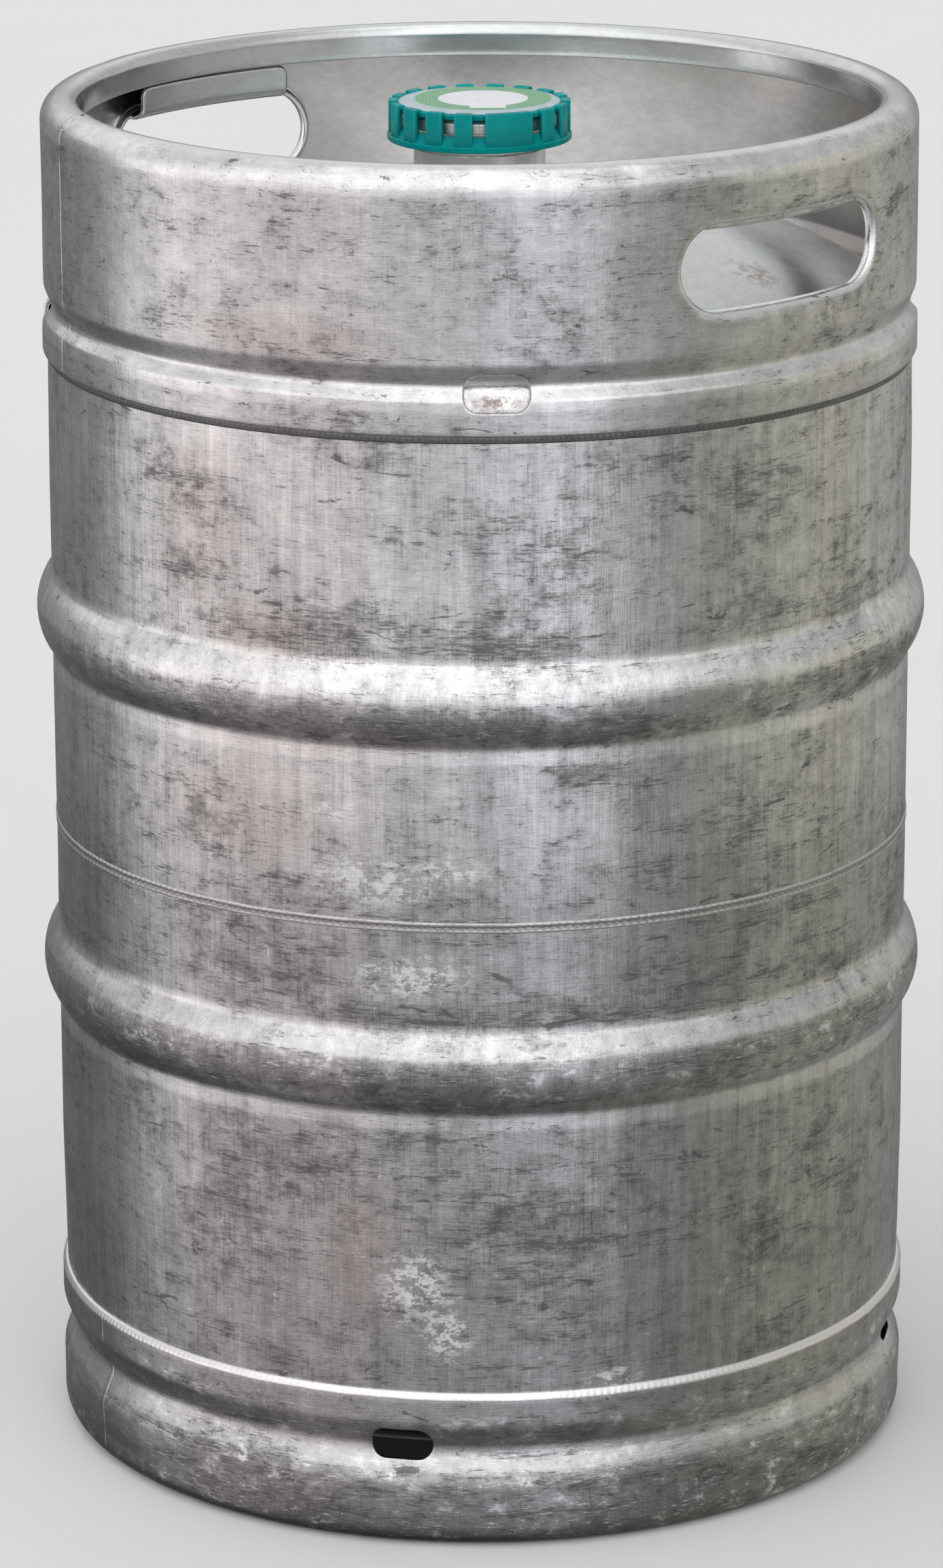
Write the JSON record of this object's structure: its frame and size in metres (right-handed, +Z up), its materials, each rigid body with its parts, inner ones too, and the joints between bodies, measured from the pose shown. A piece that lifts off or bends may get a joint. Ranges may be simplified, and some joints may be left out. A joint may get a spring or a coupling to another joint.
{
  "type": "beer keg",
  "caption": "Upright stainless steel beer keg with two rolling hoops, rolled top and bottom chimes, handholes, a sprung dispensing valve with dip tube and a push-fit plastic security cap.",
  "frame": {"origin": "centre of the foot ring, on the floor", "axes": "+Z up along the keg's axis, the two handholes on +X and -X"},
  "size_m": [0.386, 0.386, 0.592],
  "materials": {
    "shell_steel": "satin, scuffed",
    "chime_steel": "satin, scuffed",
    "weld_steel": "rippled, bright",
    "fitting_steel": "machined",
    "spring_steel": "drawn wire",
    "valve_rubber": "moulded",
    "cap_plastic": "moulded, satin",
    "label_film": "printed film"
  },
  "bodies": {
    "keg": {"upper_shell": "shell_steel", "lower_shell": "shell_steel", "middle_weld": "weld_steel", "top_chime": "chime_steel", "bottom_chime": "chime_steel", "top_chime_weld": "weld_steel", "bottom_chime_weld": "weld_steel", "top_chime_seam": "weld_steel", "bottom_chime_seam": "weld_steel", "neck": "fitting_steel", "neck_weld": "weld_steel", "neck_seal": "valve_rubber", "lock_ring": "spring_steel", "spear_body": "fitting_steel", "spring_cage": "fitting_steel", "gas_spring": "spring_steel"},
    "extractor": {"gas_valve": "valve_rubber", "valve_insert": "fitting_steel", "down_tube": "fitting_steel", "beer_spring": "spring_steel"},
    "beer_valve": {"beer_valve": "fitting_steel"},
    "cap": {"security_cap": "cap_plastic", "cap_label": "label_film"}
  },
  "joints": [
    {"name": "cap_lift", "type": "slide", "parent": "keg", "child": "cap", "axis": [0, 0, 1], "range_m": [0, 0.06]},
    {"name": "gas_valve_press", "type": "slide", "parent": "keg", "child": "extractor", "axis": [0, 0, -1], "range_m": [0, 0.006], "stiffness_N_per_m": 6000, "springref_m": -0.012, "deforming": ["gas_spring"]},
    {"name": "beer_valve_press", "type": "slide", "parent": "extractor", "child": "beer_valve", "axis": [0, 0, -1], "range_m": [0, 0.005], "stiffness_N_per_m": 1500, "springref_m": -0.008, "deforming": ["beer_spring"]}
  ]
}
